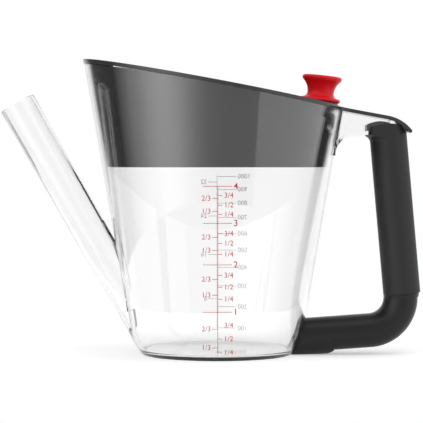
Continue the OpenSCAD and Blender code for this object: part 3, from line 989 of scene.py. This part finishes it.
class SEPARATOR_OT_scales(bpy.types.Operator):
    """Prints the red scale on the jug's front and the grey one on its back"""
    bl_idname = "separator.scales"
    bl_label = "Printed scales"

    def execute(self, context):
        ink = context.scene.separator_print
        shell = bpy.data.objects["jug_shell"]
        line, letter = ink.line, ink.letter
        front = [upright_line(FRONT_LINE, line, QUARTER_MARKS[-1][1], WHOLE_MARKS[0][1])]
        front += print_marks(WHOLE_MARKS, line, WHOLE_TICK, WHOLE_TEXT, ink.number, "LEFT", WHOLE_BOLD)
        front += print_marks(QUARTER_MARKS, line, QUARTER_TICK, QUARTER_TEXT, letter, "LEFT")
        front += print_marks([BARE_QUARTER], line, None, QUARTER_TEXT, letter, "LEFT")
        front += print_marks(THIRD_MARKS, line, THIRD_TICK, THIRD_TEXT, letter, "RIGHT")
        front = wrap_print(front, "front_scale", shell, ink.thickness, 0)
        back = [upright_line(BACK_LINE, line, HUNDRED_MARKS[-1][1], HUNDRED_MARKS[0][1])]
        back += print_marks(HUNDRED_MARKS, line, HUNDRED_TICK, HUNDRED_TEXT, letter, "RIGHT")
        back += print_marks(EIGHT_MARKS, line, EIGHT_TICK, EIGHT_TEXT, letter, "LEFT")
        back = wrap_print(back, "back_scale", shell, ink.thickness, math.pi)
        for piece, slot, colour in ((front, "silicone", ink.front), (back, "clear", ink.back)):
            coat(piece, finish_material(
                f"{piece.name} ink", colour, gloss=0.38, gloss_change=0.08, grain_size=1500.0,
                grain_depth=0.002 * MM, drift=0.05, edge=0, IOR=1.45))
            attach(piece, "jug")
        return {"FINISHED"}


class SEPARATOR_OT_handle(bpy.types.Operator):
    """Finishes the handle's hard core and soft grip"""
    bl_idname = "separator.handle"
    bl_label = "Handle"

    def execute(self, context):
        colours = context.scene.separator_finish
        dress("handle_core", finish_material(
            "satin black plastic", colours.core, gloss=0.34, gloss_change=0.10, grain_size=1800.0,
            grain_depth=0.012 * MM, IOR=1.5, Specular_IOR_Level=0.26))
        dress("soft_grip", finish_material(
            "soft grip rubber", colours.grip, gloss=0.52, gloss_change=0.12, grain_size=3200.0,
            grain_depth=0.03 * MM, edge=0.8 * MM, IOR=1.5, Specular_IOR_Level=0.35))
        return {"FINISHED"}


class SEPARATOR_OT_strainer(bpy.types.Operator):
    """Finishes the strainer"""
    bl_idname = "separator.strainer"
    bl_label = "Strainer"

    def execute(self, context):
        colours = context.scene.separator_finish
        smoke = finish_material(
            "polished dark plastic", colours.smoke, gloss=0.11, gloss_change=0.05, grain_size=900.0,
            grain_depth=0.004 * MM, IOR=1.5)
        dress("strainer_basket", smoke)
        dress("strainer_screen", smoke)
        return {"FINISHED"}


class SEPARATOR_OT_stopper(bpy.types.Operator):
    """Finishes the stopper"""
    bl_idname = "separator.stopper"
    bl_label = "Stopper"

    def execute(self, context):
        colours = context.scene.separator_finish
        dress("stopper", finish_material(
            "red silicone", colours.silicone, gloss=0.33, gloss_change=0.10, grain_size=2200.0,
            grain_depth=0.01 * MM, edge=0.5 * MM, IOR=1.42, Specular_IOR_Level=0.3))
        return {"FINISHED"}


class SEPARATOR_OT_stage(bpy.types.Operator):
    """Sets the floor, the room's lights and the lamp"""
    bl_idname = "separator.stage"
    bl_label = "Stage"

    def execute(self, context):
        stage = context.scene.separator_stage
        paper_floor(stage)
        light_room(context.scene, stage)
        hang_lamp("top lamp", stage.top, place=(0.0, -0.25, 1.0), size=(1.0, 1.0))
        context.scene.view_settings.view_transform = "Standard"
        return {"FINISHED"}


class SEPARATOR_PT_panel(bpy.types.Panel):
    """Lists the pieces and their measures"""
    bl_label = "Fat separator"
    bl_idname = "SEPARATOR_PT_panel"
    bl_space_type = "VIEW_3D"
    bl_region_type = "UI"
    bl_category = "Fat separator"

    def draw(self, context):
        for operator in OPERATORS:
            self.layout.operator(operator.bl_idname)
        for name, group in SETTINGS.items():
            box = self.layout.box()
            box.label(text=group.__name__)
            for field in group.__annotations__:
                box.prop(getattr(context.scene, name), field)


OPERATORS = (
    SEPARATOR_OT_camera,
    SEPARATOR_OT_jug,
    SEPARATOR_OT_scales,
    SEPARATOR_OT_handle,
    SEPARATOR_OT_strainer,
    SEPARATOR_OT_stopper,
    SEPARATOR_OT_stage,
)
CLASSES = (*SETTINGS.values(), *OPERATORS, SEPARATOR_PT_panel)


def register():
    for item in CLASSES:
        bpy.utils.register_class(item)
    for name, group in SETTINGS.items():
        setattr(bpy.types.Scene, name, PointerProperty(type=group))


def unregister():
    for name in SETTINGS:
        delattr(bpy.types.Scene, name)
    for item in reversed(CLASSES):
        bpy.utils.unregister_class(item)


def main():
    register()
    bpy.ops.separator.camera()
    bpy.ops.separator.jug()
    bpy.ops.separator.scales()
    bpy.ops.separator.handle()
    bpy.ops.separator.strainer()
    bpy.ops.separator.stopper()
    bpy.ops.separator.stage()


if __name__ == "__main__":
    main()
